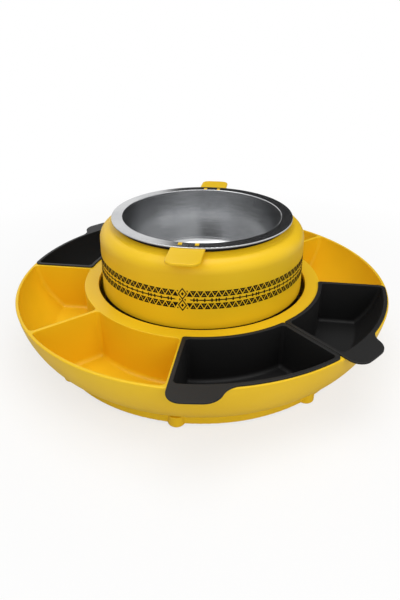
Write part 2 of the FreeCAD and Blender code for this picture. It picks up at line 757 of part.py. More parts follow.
def heater_housing():
    """Drum with a rounded shoulder, open at the top, with long screw bosses that hang from
    its wall down to the base pan."""
    body = new_body("heater_housing")
    top_radius = "(housing_radius - housing_draft)"
    shoulder = f"({HOUSING_TOP} - shoulder_round)"
    revolve(body, [
        ("housing_radius - housing_wall", HOUSING_FOOT),
        ("housing_radius", HOUSING_FOOT),
        (top_radius, shoulder),
        (f"{top_radius} - shoulder_round", HOUSING_TOP, "shoulder_round", LEFT),
        (OPENING_RADIUS, HOUSING_TOP),
        (OPENING_RADIUS, f"{HOUSING_TOP} - housing_wall"),
        (f"{top_radius} - shoulder_round", f"{HOUSING_TOP} - housing_wall"),
        (f"{top_radius} - housing_wall", shoulder, "shoulder_round - housing_wall", RIGHT)])
    boss_place = turned(BOSS_CIRCLE, "0", BOSS_ANGLE)
    boss_top = f"({SPIGOT_TOP} + brace_rise)"
    boss = raise_up(body, [(*boss_place, "boss_radius")], PAN_TOP, f"{boss_top} - {PAN_TOP}")
    brace = raise_up(body, [box(BOSS_CIRCLE, "housing_radius - housing_wall / 2",
                                "-web_wall / 2", "web_wall / 2", BOSS_ANGLE)],
                     f"({SPIGOT_TOP} + spigot_fit)", "brace_rise - spigot_fit")
    bore = raise_up(body, [(*boss_place, "screw_radius + bolt_fit / 2")],
                    f"{PAN_TOP} - {OVERRUN}", f"screw_grip + 2 * {OVERRUN}", cut=True)
    repeat_round(body, [boss, brace, bore], "boss_count")
    edge = value(OPENING_RADIUS)
    round_edges(body, "edge_round", lambda low, high, near, far:
                same(near, edge) and same(far, edge) and same(low, value(HOUSING_TOP)))
    return body


def housing_sleeve():
    """Sleeve between the base pan and the drum, with a spigot that centres the drum."""
    body = new_body("housing_sleeve")
    inner = f"({SLEEVE_RADIUS} - sleeve_wall)"
    revolve(body, [
        (inner, PAN_TOP),
        (SLEEVE_RADIUS, PAN_TOP),
        (SLEEVE_RADIUS, HOUSING_FOOT),
        (SPIGOT_RADIUS, HOUSING_FOOT),
        (SPIGOT_RADIUS, SPIGOT_TOP),
        (inner, SPIGOT_TOP)])
    half = "(gland_bore_width / 2 + gland_wall)"
    raise_up(body, [box(f"{inner} - {OVERRUN}", f"{SLEEVE_RADIUS} + {OVERRUN}",
                        f"-{half}", half, "cord_angle")], PAN_TOP, "gland_rise", cut=True)
    return body


def seat_ring():
    """Ring clamped under the housing's top, notched for the two handles."""
    body = new_body("seat_ring")
    inner = f"({SEAT_RADIUS} - seat_wall)"
    revolve(body, [
        (inner, SEAT_LIP_BASE),
        (f"{SEAT_RADIUS} + seat_lip", SEAT_LIP_BASE),
        (f"{SEAT_RADIUS} + seat_lip", SEAT_LIP_TOP),
        (SEAT_RADIUS, SEAT_LIP_TOP),
        (SEAT_RADIUS, "seat_height"),
        (inner, "seat_height")])
    half = "(handle_width / 2 + notch_fit)"
    raise_up(body, [box(f"-{half}", half, f"-{OPENING_RADIUS}", OPENING_RADIUS)],
             "seat_height - handle_sheet - notch_fit", "handle_sheet + 2 * notch_fit",
             cut=True)
    return body


def stud_places():
    """Centres of a handle's two studs, for a handle that points along +X."""
    return [(STUD_CIRCLE, "stud_spread"), (STUD_CIRCLE, "-stud_spread")]


def stud_box(place, fit, angle=None):
    """Outline of a stud, or of its hole at a fit."""
    x, y = place
    return box(f"{x} - stud_length / 2 - {fit}", f"{x} + stud_length / 2 + {fit}",
               f"{y} - stud_width / 2 - {fit}", f"{y} + stud_width / 2 + {fit}", angle)


def pot():
    """Drawn steel pot with a flat flange, pierced for the handles' studs."""
    body = new_body("pot")
    base_radius = f"({POT_RADIUS} - pot_draft)"
    revolve(body, [
        ("0", POT_BASE),
        (base_radius, POT_BASE),
        (POT_RADIUS, "seat_height"),
        (POT_RIM_RADIUS, "seat_height"),
        (POT_RIM_RADIUS, POT_TOP),
        (f"{POT_RADIUS} - pot_sheet", POT_TOP),
        (f"{base_radius} - pot_sheet", f"{POT_BASE} + pot_sheet"),
        ("0", f"{POT_BASE} + pot_sheet")])
    outer_edge, inner_edge = value(POT_BASE), value(f"{POT_BASE} + pot_sheet")
    round_edges(body, "pot_round", lambda low, high, near, far: same(high, outer_edge))
    round_edges(body, "pot_round - pot_sheet", lambda low, high, near, far:
                same(high, inner_edge) and same(low, inner_edge) and near > 1)
    top = value(POT_TOP)
    round_edges(body, "pot_lip_round", lambda low, high, near, far: same(low, top))
    holes = []
    for place in stud_places():
        for angle in ("-90", "90"):
            holes.append(stud_box(place, "stud_fit", angle))
    raise_up(body, holes, f"seat_height - {OVERRUN}", f"pot_flange + 2 * {OVERRUN}",
             cut=True)
    return body


def pot_handle(label, angle):
    """Flat tab under the pot's flange, held by two studs through it."""
    body = new_body(label)
    half = "(handle_width / 2)"
    inner = f"({POT_RADIUS} + handle_gap)"
    inner_x = f"sqrt({inner}^2 - {half}^2)"
    raise_up(body, [[
        (inner_x, f"-{half}", inner, RIGHT),
        (f"{HANDLE_REACH} - handle_corner", f"-{half}"),
        (HANDLE_REACH, f"-{half} + handle_corner", "handle_corner", LEFT),
        (HANDLE_REACH, f"{half} - handle_corner"),
        (f"{HANDLE_REACH} - handle_corner", half, "handle_corner", LEFT),
        (inner_x, half)]], "seat_height - handle_sheet", "handle_sheet")
    reach = value(POT_RIM_RADIUS)
    round_edges(body, "handle_round", lambda low, high, near, far:
                same(low, high) and far > reach)
    raise_up(body, [stud_box(place, "0") for place in stud_places()],
             "seat_height - handle_sheet / 2", "handle_sheet / 2 + pot_flange + stud_rise")
    set_angle(body, angle)
    return body


def inner_liner():
    """Steel cup round the pot, with a central hole for the controls."""
    body = new_body("inner_liner")
    revolve(body, [
        ("liner_hole", LINER_BASE),
        (LINER_RADIUS, LINER_BASE),
        (LINER_RADIUS, f"{SEAT_LIP_BASE} - liner_sheet"),
        (f"{LINER_RADIUS} + liner_lip", f"{SEAT_LIP_BASE} - liner_sheet"),
        (f"{LINER_RADIUS} + liner_lip", SEAT_LIP_BASE),
        (f"{LINER_RADIUS} - liner_sheet", SEAT_LIP_BASE),
        (f"{LINER_RADIUS} - liner_sheet", f"{LINER_BASE} + liner_sheet"),
        ("liner_hole", f"{LINER_BASE} + liner_sheet")])
    base, inside = value(LINER_BASE), value(f"{LINER_BASE} + liner_sheet")
    edge = value("liner_hole") + 1
    round_edges(body, "liner_round", lambda low, high, near, far:
                same(high, base) and near > edge)
    round_edges(body, "liner_round - liner_sheet", lambda low, high, near, far:
                same(high, inside) and same(low, inside) and near > edge)
    bolt = raise_up(body, [(*turned("post_circle", "0", POST_ANGLE),
                            "bolt_radius + bolt_fit")],
                    f"{LINER_BASE} - {OVERRUN}", f"liner_sheet + 2 * {OVERRUN}", cut=True)
    repeat_round(body, [bolt], "post_count")
    raise_up(body, [(*place, "element_radius + element_fit") for place in pin_places()],
             f"{LINER_BASE} - {OVERRUN}", f"liner_sheet + 2 * {OVERRUN}", cut=True)
    return body


def column_group(label, radius, base, top):
    """Upright tubes round the tie bolts."""
    body = new_body(label)
    body.AllowCompound = True
    place = turned("post_circle", "0", POST_ANGLE)
    column = raise_up(body, [(*place, radius), (*place, "bolt_radius + bolt_fit")],
                      base, f"{top} - {base}")
    repeat_round(body, [column], "post_count")
    return body


def chassis_posts():
    """Posts from the base pan up to the liner."""
    return column_group("chassis_posts", "post_radius", PAN_TOP, LINER_BASE)


def plate_spacers():
    """Ceramic spacers between the liner and the heating plate."""
    return column_group("plate_spacers", "spacer_radius", f"({LINER_BASE} + liner_sheet)",
                        PLATE_BASE)


def tie_bolts():
    """Long bolts from under the base pan through the posts into the heating plate."""
    body = new_body("tie_bolts")
    body.AllowCompound = True
    place = turned("post_circle", "0", POST_ANGLE)
    head = raise_up(body, [(*place, "head_radius")], HEAD_BASE, "head_rise")
    shank = raise_up(body, [(*place, "bolt_radius")],
                     "pan_base - head_rise / 2",
                     f"{PLATE_BASE} + bolt_grip - pan_base + head_rise / 2")
    repeat_round(body, [head, shank], "post_count")
    return body


def housing_screws():
    """Screws from under the base pan into the housing's bosses."""
    body = new_body("housing_screws")
    body.AllowCompound = True
    place = turned(BOSS_CIRCLE, "0", BOSS_ANGLE)
    head = raise_up(body, [(*place, "head_radius")], HEAD_BASE, "head_rise")
    shank = raise_up(body, [(*place, "screw_radius")], "pan_base - head_rise / 2",
                     "head_rise / 2 + pan_floor + screw_grip")
    repeat_round(body, [head, shank], "boss_count")
    return body


def heating_plate():
    """Cast plate just under the pot, with blind holes for the tie bolts."""
    body = new_body("heating_plate")
    raise_up(body, [("0", "0", "plate_radius")], PLATE_BASE, "plate_sheet")
    round_edges(body, "plate_round", lambda low, high, near, far: same(low, high))
    bolt = raise_up(body, [(*turned("post_circle", "0", POST_ANGLE),
                            "bolt_radius + bolt_fit / 2")],
                    f"{PLATE_BASE} - {OVERRUN}", f"bolt_grip + 1.5 * {OVERRUN}", cut=True)
    repeat_round(body, [bolt], "post_count")
    return body


def thermostat():
    """Round thermostat pressed against the middle of the heating plate."""
    body = new_body("thermostat")
    base = f"({PLATE_BASE} - thermostat_rise)"
    raise_up(body, [("0", "0", "thermostat_radius")], base, "thermostat_rise")
    lowest = value(base)
    round_edges(body, "edge_round", lambda low, high, near, far: same(high, lowest))
    raise_up(body, [box(f"{side} * thermostat_radius / 2 - blade_sheet / 2",
                        f"{side} * thermostat_radius / 2 + blade_sheet / 2",
                        "-blade_width / 2", "blade_width / 2") for side in (1, -1)],
             f"{base} - blade_drop", "blade_drop + thermostat_rise / 2")
    return body


def thermal_fuse():
    """Fuse lying under the heating plate."""
    fuse = doc.addObject("Part::Cylinder", "thermal_fuse")
    fuse.Label = "thermal_fuse"
    fuse.setExpression("Radius", bound("fuse_radius"))
    fuse.setExpression("Height", bound("fuse_length"))
    fuse.Placement = FreeCAD.Placement(
        FreeCAD.Vector(0, 0, 0), FreeCAD.Rotation(FreeCAD.Vector(0, 1, 0), 90))
    fuse.setExpression("Placement.Base.x", bound("-fuse_length / 2"))
    fuse.setExpression("Placement.Base.y", bound("-fuse_offset"))
    fuse.setExpression("Placement.Base.z", bound(FUSE_HEIGHT))
    return fuse


def fuse_clip():
    """Strap that holds the fuse up against the heating plate."""
    body = new_body("fuse_clip")
    over = "(fuse_radius + fuse_fit + clip_sheet)"
    base = f"({FUSE_HEIGHT} - {over})"
    feature = body.newObject("PartDesign::Pad", "fuse_clip_strap")
    inner = "(fuse_radius + fuse_fit)"
    feature.Profile = new_sketch(body, "YZ_Plane", [[
        (f"-fuse_offset - {over} - clip_foot", f"{PLATE_BASE} - clip_sheet"),
        (f"-fuse_offset - {over}", f"{PLATE_BASE} - clip_sheet"),
        (f"-fuse_offset - {over}", base),
        (f"-fuse_offset + {over}", base),
        (f"-fuse_offset + {over}", f"{PLATE_BASE} - clip_sheet"),
        (f"-fuse_offset + {over} + clip_foot", f"{PLATE_BASE} - clip_sheet"),
        (f"-fuse_offset + {over} + clip_foot", PLATE_BASE),
        (f"-fuse_offset + {inner}", PLATE_BASE),
        (f"-fuse_offset + {inner}", f"{base} + clip_sheet"),
        (f"-fuse_offset - {inner}", f"{base} + clip_sheet"),
        (f"-fuse_offset - {inner}", PLATE_BASE),
        (f"-fuse_offset - {over} - clip_foot", PLATE_BASE)]])
    feature.setExpression("Length", bound("clip_width"))
    feature.Midplane = True
    return body


def block_place(along, across):
    """Place on the terminal block, measured out from and across its middle."""
    return turned(f"{BLOCK_CIRCLE} + {along}", across, "cord_angle")


def terminal_block():
    """Block on the base pan where the cord would meet the leads."""
    body = new_body("terminal_block")
    raise_up(body, [box(f"{BLOCK_CIRCLE} - block_length / 2", f"{BLOCK_CIRCLE} + block_length / 2",
                        "-block_width / 2", "block_width / 2", "cord_angle")],
             PAN_TOP, "block_rise")
    raise_up(body, [(*block_place("0", side), "head_radius") for side in BLOCK_SIDES],
             f"({PAN_TOP} + block_rise - head_rise)", f"head_rise + {OVERRUN}", cut=True)
    return body


def terminal_screws():
    """Clamping screws in the top of the terminal block."""
    body = new_body("terminal_screws")
    body.AllowCompound = True
    raise_up(body, [(*block_place("0", side), "head_radius - bolt_fit / 2")
                    for side in BLOCK_SIDES],
             f"({PAN_TOP} + block_rise - head_rise)", "head_rise")
    return body


def pin_places():
    """Where the two cold ends of the element come down through the liner."""
    places = []
    for side in (1, -1):
        turn = f"(cord_angle + {side} * element_opening / 2)"
        places.append(turned("element_circle", f"-{side} * element_bend", turn))
    return places


def pipe(path, radius):
    """Round rod along a path of lines and arcs."""
    start = path.Edges[0]
    place = start.valueAt(start.FirstParameter)
    heading = start.tangentAt(start.FirstParameter)
    section = Part.Wire(Part.Circle(place, heading, radius).toShape())
    return path.makePipeShell([section], True, True)


def heating_element():
    """Tubular element in an open ring under the plate, with both ends bent down."""
    ring = value("element_circle")
    bend = value("element_bend")
    height = value(f"{PLATE_BASE} - element_radius")
    low = value(f"{LINER_BASE} - element_drop")
    half = math.radians(value("element_opening / 2"))
    middle = math.radians(value("cord_angle"))

    def spot(angle, along=0, z=height):
        return FreeCAD.Vector(
            ring * math.cos(angle) - along * math.sin(angle),
            ring * math.sin(angle) + along * math.cos(angle), z)

    slope = math.sqrt(0.5)
    first, last = middle + half, middle - half
    edges = [
        Part.LineSegment(spot(first, -bend, low), spot(first, -bend, height - bend)),
        Part.Arc(spot(first, -bend, height - bend),
                 spot(first, -bend * slope, height - bend * (1 - slope)),
                 spot(first)),
        Part.Arc(spot(first), spot(middle + math.pi), spot(last)),
        Part.Arc(spot(last),
                 spot(last, bend * slope, height - bend * (1 - slope)),
                 spot(last, bend, height - bend)),
        Part.LineSegment(spot(last, bend, height - bend), spot(last, bend, low))]
    element = doc.addObject("Part::Feature", "heating_element")
    element.Label = "heating_element"
    path = Part.Wire([edge.toShape() for edge in edges])
    element.Shape = pipe(path, value("element_radius"))
    return element


def soft_path(points):
    """Path through points, with an arc at each turn as large as its two runs allow."""
    pieces = []
    here = points[0]
    for before, corner, after in zip(points, points[1:], points[2:]):
        into = (corner - before).normalize()
        out = (after - corner).normalize()
        turn = into.getAngle(out)
        run = 0.45 * min((corner - before).Length, (after - corner).Length)
        start, end = corner - into * run, corner + out * run
        radius = run / math.tan(turn / 2)
        print(f"lead bend radius {radius:.1f}")
        middle = (out - into).normalize()
        centre = corner + middle * math.hypot(run, radius)
        pieces.append(Part.LineSegment(here, start).toShape())
        pieces.append(Part.Arc(start, centre - middle * radius, end).toShape())
        here = end
    pieces.append(Part.LineSegment(here, points[-1]).toShape())
    return Part.Wire(pieces)


def lead(label, side):
    """Insulated lead from the terminal block up to one end of the element."""
    pin = pin_places()[0 if side > 0 else 1]
    end = FreeCAD.Vector(value(pin[0]), value(pin[1]), value(f"{LINER_BASE} - element_drop"))
    face = "-block_length / 2"
    across = BLOCK_SIDES[0 if side > 0 else 1]
    height = value(f"{PAN_TOP} + block_rise / 2")

    def near_block(away):
        x, y = block_place(f"{face} - {away}", across)
        return FreeCAD.Vector(value(x), value(y), height)

    below = FreeCAD.Vector(end.x, end.y, height + value("lead_rise"))
    points = [near_block(0), near_block(value("lead_run")), below, end]
    piece = doc.addObject("Part::Feature", label)
    piece.Label = label
    piece.Shape = pipe(soft_path(points), value("lead_radius"))
    return piece


def build_parts():
    """Every sub-part, in the order it is put together."""
    parts = [base_pan(), foot_pads(), cord_gland(), lower_race(), bearing_balls(),
             ball_cage(), upper_race(), serving_dish()]
    half_way = "(compartments / 2)"
    parts += [tray(1, "0"), tray(2, "1"), tray(3, half_way), tray(4, f"({half_way} + 1)")]
    parts += [heater_housing(), housing_sleeve(), housing_screws(), seat_ring(), inner_liner(),
              chassis_posts(), plate_spacers(), tie_bolts(), heating_plate(),
              heating_element(), thermostat(), thermal_fuse(), fuse_clip(),
              terminal_block(), terminal_screws(), lead("lead_live", 1),
              lead("lead_neutral", -1)]
    parts += [pot(), pot_handle("pot_handle_front", "-90"),
              pot_handle("pot_handle_rear", "90")]
    return parts


def check_and_write(parts):
    """Stops at a failed feature or a bad shape, and then writes each sub-part."""
    doc.recompute()
    for item in doc.Objects:
        if "Invalid" in item.State or "Error" in item.State:
            raise RuntimeError(f"{item.Label} failed: {item.State}")
    for part in parts:
        if part.Shape.isNull() or not part.Shape.isValid():
            raise RuntimeError(f"{part.Label} has no valid shape")
    os.makedirs("parts", exist_ok=True)
    for part in parts:
        part.Shape.exportStep(f"parts/{part.Label}.step")
        print(f"{part.Label}: {part.Shape.Volume / 1000:.1f} cm3,"
              f" {len(part.Shape.Solids)} solid(s)")


check_and_write(build_parts())
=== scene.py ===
"""Looks of the heated serving dish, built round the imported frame.

Metres, in the frame's own axes: +Z is up, -Y is the front and the origin is on the vertical
axis, at the surface that the object stands on.
"""

import math

import bmesh
import bpy
from mathutils import Matrix, Vector


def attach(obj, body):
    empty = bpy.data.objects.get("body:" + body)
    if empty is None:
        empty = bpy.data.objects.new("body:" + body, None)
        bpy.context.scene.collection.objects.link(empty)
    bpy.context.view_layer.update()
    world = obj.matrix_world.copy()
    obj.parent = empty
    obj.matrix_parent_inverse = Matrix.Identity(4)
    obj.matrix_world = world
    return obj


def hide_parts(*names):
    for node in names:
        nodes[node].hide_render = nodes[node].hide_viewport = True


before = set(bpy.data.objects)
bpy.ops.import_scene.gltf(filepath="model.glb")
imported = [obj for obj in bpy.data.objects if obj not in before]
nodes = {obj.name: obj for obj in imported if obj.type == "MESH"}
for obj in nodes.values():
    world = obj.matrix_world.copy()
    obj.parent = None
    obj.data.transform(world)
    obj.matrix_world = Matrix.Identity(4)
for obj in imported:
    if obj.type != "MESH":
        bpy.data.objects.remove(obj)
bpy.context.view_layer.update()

MM = 0.001
SIDES = 256


# Hand tools

def deselect_all():
    """Nothing selected and no edit mode, so that an operator acts on its own piece only."""
    if bpy.context.object and bpy.context.object.mode != "OBJECT":
        bpy.ops.object.mode_set(mode="OBJECT")
    bpy.ops.object.select_all(action="DESELECT")


def name_piece(name):
    """Names the primitive that was just added."""
    piece = bpy.context.object
    piece.name = piece.data.name = name
    return piece


def edit(piece, mode="EDGE"):
    """Goes into edit mode on one piece, with nothing selected in it."""
    deselect_all()
    bpy.context.view_layer.objects.active = piece
    piece.select_set(True)
    bpy.ops.object.mode_set(mode="EDIT")
    bpy.ops.mesh.select_mode(type=mode)
    bpy.ops.mesh.select_all(action="DESELECT")
    return bmesh.from_edit_mesh(piece.data)


def leave(piece):
    """Back to object mode, with only this piece selected."""
    bpy.ops.object.mode_set(mode="OBJECT")
    piece.select_set(True)
    return piece


def pick_edges(piece, wanted):
    """Selects the edges whose middle and direction are wanted."""
    shape = bmesh.from_edit_mesh(piece.data)
    for edge in shape.edges:
        low, high = edge.verts[0].co, edge.verts[1].co
        edge.select_set(wanted((low + high) / 2, (high - low).normalized()))
    bmesh.update_edit_mesh(piece.data)


def pick_faces(piece, wanted):
    """Selects the faces whose middle and normal are wanted."""
    shape = bmesh.from_edit_mesh(piece.data)
    for face in shape.faces:
        face.select_set(wanted(face.calc_center_median(), face.normal))
    bmesh.update_edit_mesh(piece.data)


def turn_on_lathe(name, outline, closed=True, sides=SIDES):
    """Ring of faces that follows an outline of radius and height in millimetres: a circle
    is added at its first corner and extruded, moved and scaled to each next one."""
    radius, height = outline[0]
    deselect_all()
    bpy.ops.mesh.primitive_circle_add(vertices=sides, radius=radius * MM,
                                      location=(0, 0, height * MM))
    piece = name_piece(name)
    bpy.ops.object.transform_apply(location=True)
    edit(piece)
    bpy.ops.mesh.select_all(action="SELECT")
    for next_radius, next_height in outline[1:] + ([outline[0]] if closed else []):
        bpy.ops.mesh.extrude_edges_move(TRANSFORM_OT_translate={
            "value": (0, 0, (next_height - height) * MM)})
        scale = next_radius / radius
        bpy.ops.transform.resize(value=(scale, scale, 1), center_override=(0, 0, 0))
        radius, height = next_radius, next_height
    bpy.ops.mesh.select_all(action="SELECT")
    bpy.ops.mesh.remove_doubles(threshold=1e-6)
    bpy.ops.mesh.normals_make_consistent(inside=False)
    return leave(piece)


def close_ends(piece):
    """Caps the open ends of a turned piece."""
    edit(piece)
    bpy.ops.mesh.select_non_manifold(extend=False)
    bpy.ops.mesh.fill_holes(sides=0)
    bpy.ops.mesh.select_all(action="SELECT")
    bpy.ops.mesh.normals_make_consistent(inside=False)
    return leave(piece)


def cut_slot(piece, size, centre, turn):
    """Takes a box of a size, at a place and turned, out of a piece; all in millimetres."""
    deselect_all()
    bpy.ops.mesh.primitive_cube_add(size=MM, location=[part * MM for part in centre],
                                    rotation=(0, 0, math.radians(turn)))
    cutter = name_piece("cutter")
    cutter.scale = size
    slot = piece.modifiers.new("slot", "BOOLEAN")
    slot.operation, slot.solver, slot.object = "DIFFERENCE", "EXACT", cutter
    deselect_all()
    bpy.context.view_layer.objects.active = piece
    piece.select_set(True)
    bpy.ops.object.modifier_apply(modifier="slot")
    bpy.data.objects.remove(cutter)
    return piece


def bevel_rings(piece, radius, height, width, segments=4):
    """Rounds the ring of edges at a radius and height, all in millimetres."""
    edit(piece)
    pick_edges(piece, lambda middle, way: abs(middle.xy.length - radius * MM) < 2e-4
               and abs(middle.z - height * MM) < 2e-5 and abs(way.z) < 0.01)
    bpy.ops.mesh.bevel(offset=width * MM, segments=segments, affect="EDGES")
    leave(piece)


def smooth(piece, angle=35):
    """Smooth faces with edges kept sharp past an angle."""
    deselect_all()
    bpy.context.view_layer.objects.active = piece
    piece.select_set(True)
    bpy.ops.object.shade_smooth_by_angle(angle=math.radians(angle))
    return piece


def finish_piece(piece, body, material, replaces=()):
    """Gives a finished piece its material, its body and the node that it stands for."""
    piece.data.materials.clear()
    piece.data.materials.append(material)
    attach(piece, body)
    if replaces:
        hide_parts(*replaces)
    return piece


# Materials

def srgb(red, green, blue):
    """Shader colour from the 0 to 255 values seen on a screen."""
    def linear(level):
        level /= 255
        return level / 12.92 if level <= 0.04045 else ((level + 0.055) / 1.055) ** 2.4
    return linear(red), linear(green), linear(blue), 1


def group_inputs(group, inputs):
    """Named inputs of a node group with their defaults."""
    for name, kind, default in inputs:
        socket = group.interface.new_socket(name=name, in_out="INPUT",
                                            socket_type=f"NodeSocket{kind}")
        socket.default_value = default


def link(tree, source, target):
    tree.links.new(source, target)


def new_group(name, inputs, outputs):
    """Empty shader node group with its two end nodes."""
    group = bpy.data.node_groups.new(name, "ShaderNodeTree")
    group_inputs(group, inputs)
    for output, kind in outputs:
        group.interface.new_socket(name=output, in_out="OUTPUT",
                                   socket_type=f"NodeSocket{kind}")
    start, end = group.nodes.new("NodeGroupInput"), group.nodes.new("NodeGroupOutput")
    return group, start, end


def new_node(tree, kind, **settings):
    node = tree.nodes.new(f"ShaderNode{kind}")
    for name, value in settings.items():
        setattr(node, name, value)
    return node


def math_node(tree, operation, first, second=None):
    """Math node; each side is a socket or a number."""
    node = new_node(tree, "Math", operation=operation)
    for socket, source in zip(node.inputs, (first, second)):
        if source is None:
            continue
        if isinstance(source, (int, float)):
            socket.default_value = source
        else:
            link(tree, source, socket)
    return node.outputs[0]


def noise(tree, vector, scale, detail=2, roughness=0.5):
    """Noise value on a vector; the scale is a socket or a number."""
    node = new_node(tree, "TexNoise", noise_dimensions="3D")
    link(tree, vector, node.inputs["Vector"])
    if isinstance(scale, (int, float)):
        node.inputs["Scale"].default_value = scale
    else:
        link(tree, scale, node.inputs["Scale"])
    node.inputs["Detail"].default_value = detail
    node.inputs["Roughness"].default_value = roughness
    return node.outputs["Fac"]


def spread(tree, value, low, high, to_low, to_high):
    """Map Range node from one span onto another, clamped."""
    node = new_node(tree, "MapRange")
    for socket, source in zip(node.inputs, (value, low, high, to_low, to_high)):
        if isinstance(source, (int, float)):
            socket.default_value = source
        else:
            link(tree, source, socket)
    return node.outputs[0]


def blend_colours(tree, share, first, second):
    node = new_node(tree, "Mix", data_type="RGBA")
    for socket, source in ((node.inputs["Factor"], share), (node.inputs[6], first),
                           (node.inputs[7], second)):
        if isinstance(source, (int, float, tuple)):
            socket.default_value = source
        else:
            link(tree, source, socket)
    return node.outputs[2]


def moulding_grain_group():
    """Fine spark texture of a mould: a height for a Bump node and a slow drift of gloss."""
    group, start, end = new_group(
        "moulding_grain",
        [("Grain Scale", "Float", 1500.0), ("Drift Scale", "Float", 14.0),
         ("Gloss Low", "Float", 0.3), ("Gloss High", "Float", 0.4)],
        [("Height", "Float"), ("Roughness", "Float")])
    place = new_node(group, "TexCoord").outputs["Object"]
    fine = noise(group, place, start.outputs["Grain Scale"], 3, 0.6)
    drift = noise(group, place, start.outputs["Drift Scale"], 2)
    both = math_node(group, "ADD", math_node(group, "MULTIPLY", fine, 0.35),
                     math_node(group, "MULTIPLY", drift, 0.65))
    link(group, fine, end.inputs["Height"])
    link(group, spread(group, both, 0.3, 0.7, start.outputs["Gloss Low"],
                       start.outputs["Gloss High"]), end.inputs["Roughness"])
    return group


def pigment_drift_group():
    """Slow drift between two tones of one pigment, as in a moulded shell."""
    group, start, end = new_group(
        "pigment_drift",
        [("Tone", "Color", (0.8, 0.8, 0.8, 1)), ("Deep Tone", "Color", (0.7, 0.7, 0.7, 1)),
         ("Scale", "Float", 9.0)],
        [("Color", "Color")])
    place = new_node(group, "TexCoord").outputs["Object"]
    share = spread(group, noise(group, place, start.outputs["Scale"], 3), 0.35, 0.65, 0, 1)
    link(group, blend_colours(group, share, start.outputs["Tone"],
                              start.outputs["Deep Tone"]), end.inputs["Color"])
    return group


def round_brushing_group():
    """Brushing round the vertical axis: fine rings that break up along their length."""
    group, start, end = new_group(
        "round_brushing",
        [("Ring Scale", "Float", 900.0), ("Streak Length", "Float", 0.05),
         ("Gloss Low", "Float", 0.2), ("Gloss High", "Float", 0.34)],
        [("Height", "Float"), ("Roughness", "Float")])
    place = new_node(group, "TexCoord").outputs["Object"]
    parts = new_node(group, "SeparateXYZ")
    link(group, place, parts.inputs[0])
    radius = math_node(group, "SQRT", math_node(
        group, "ADD", math_node(group, "MULTIPLY", parts.outputs[0], parts.outputs[0]),
        math_node(group, "MULTIPLY", parts.outputs[1], parts.outputs[1])))
    across = math_node(group, "ADD", radius, parts.outputs[2])
    streak = new_node(group, "CombineXYZ")
    link(group, math_node(group, "MULTIPLY", parts.outputs[0],
                          start.outputs["Streak Length"]), streak.inputs[0])
    link(group, math_node(group, "MULTIPLY", parts.outputs[1],
                          start.outputs["Streak Length"]), streak.inputs[1])
    link(group, across, streak.inputs[2])
    lines = noise(group, streak.outputs[0], start.outputs["Ring Scale"], 4, 0.65)
    link(group, lines, end.inputs["Height"])
    link(group, spread(group, lines, 0.3, 0.7, start.outputs["Gloss Low"],
                       start.outputs["Gloss High"]), end.inputs["Roughness"])
    return group


GRAIN = moulding_grain_group()
PIGMENT = pigment_drift_group()
BRUSHING = round_brushing_group()


def new_material(name):
    """Material with its Principled shader, and the tree they are in."""
    material = bpy.data.materials.new(name)
    material.use_nodes = True
    tree = material.node_tree
    return material, tree, tree.nodes["Principled BSDF"]


def place_group(tree, group, **values):
    """Node group placed in a material with its own values."""
    node = new_node(tree, "Group", node_tree=group)
    for name, value in values.items():
        node.inputs[name.replace("_", " ").title()].default_value = value
    return node


def add_bump(tree, shader, height, distance, strength):
    bump = new_node(tree, "Bump")
    bump.inputs["Distance"].default_value = distance
    bump.inputs["Strength"].default_value = strength
    link(tree, height, bump.inputs["Height"])
    link(tree, bump.outputs[0], shader.inputs["Normal"])


def moulded_plastic(name, tone, deep_tone, gloss, grain_scale, grain, coat=0.0,
                    shine=0.5):
    """Pigmented plastic with the texture of its mould."""
    material, tree, shader = new_material(name)
    colour = place_group(tree, PIGMENT, tone=tone, deep_tone=deep_tone)
    link(tree, colour.outputs["Color"], shader.inputs["Base Color"])
    texture = place_group(tree, GRAIN, grain_scale=grain_scale, gloss_low=gloss[0],
                          gloss_high=gloss[1])
    link(tree, texture.outputs["Roughness"], shader.inputs["Roughness"])
    add_bump(tree, shader, texture.outputs["Height"], grain, 0.5)
    shader.inputs["Specular IOR Level"].default_value = shine
    shader.inputs["Coat Weight"].default_value = coat
    shader.inputs["Coat Roughness"].default_value = 0.2
    return material


def brushed_metal(name, tone, deep_tone, gloss, ring_scale=900.0, streak=0.05, depth=4e-6):
    """Sheet metal brushed or turned round the axis."""
    material, tree, shader = new_material(name)
    shader.inputs["Metallic"].default_value = 1
    colour = place_group(tree, PIGMENT, tone=tone, deep_tone=deep_tone, scale=22.0)
    link(tree, colour.outputs["Color"], shader.inputs["Base Color"])
    rings = place_group(tree, BRUSHING, ring_scale=ring_scale, streak_length=streak,
                        gloss_low=gloss[0], gloss_high=gloss[1])
    link(tree, rings.outputs["Roughness"], shader.inputs["Roughness"])
    add_bump(tree, shader, rings.outputs["Height"], depth, 0.5)
    return material


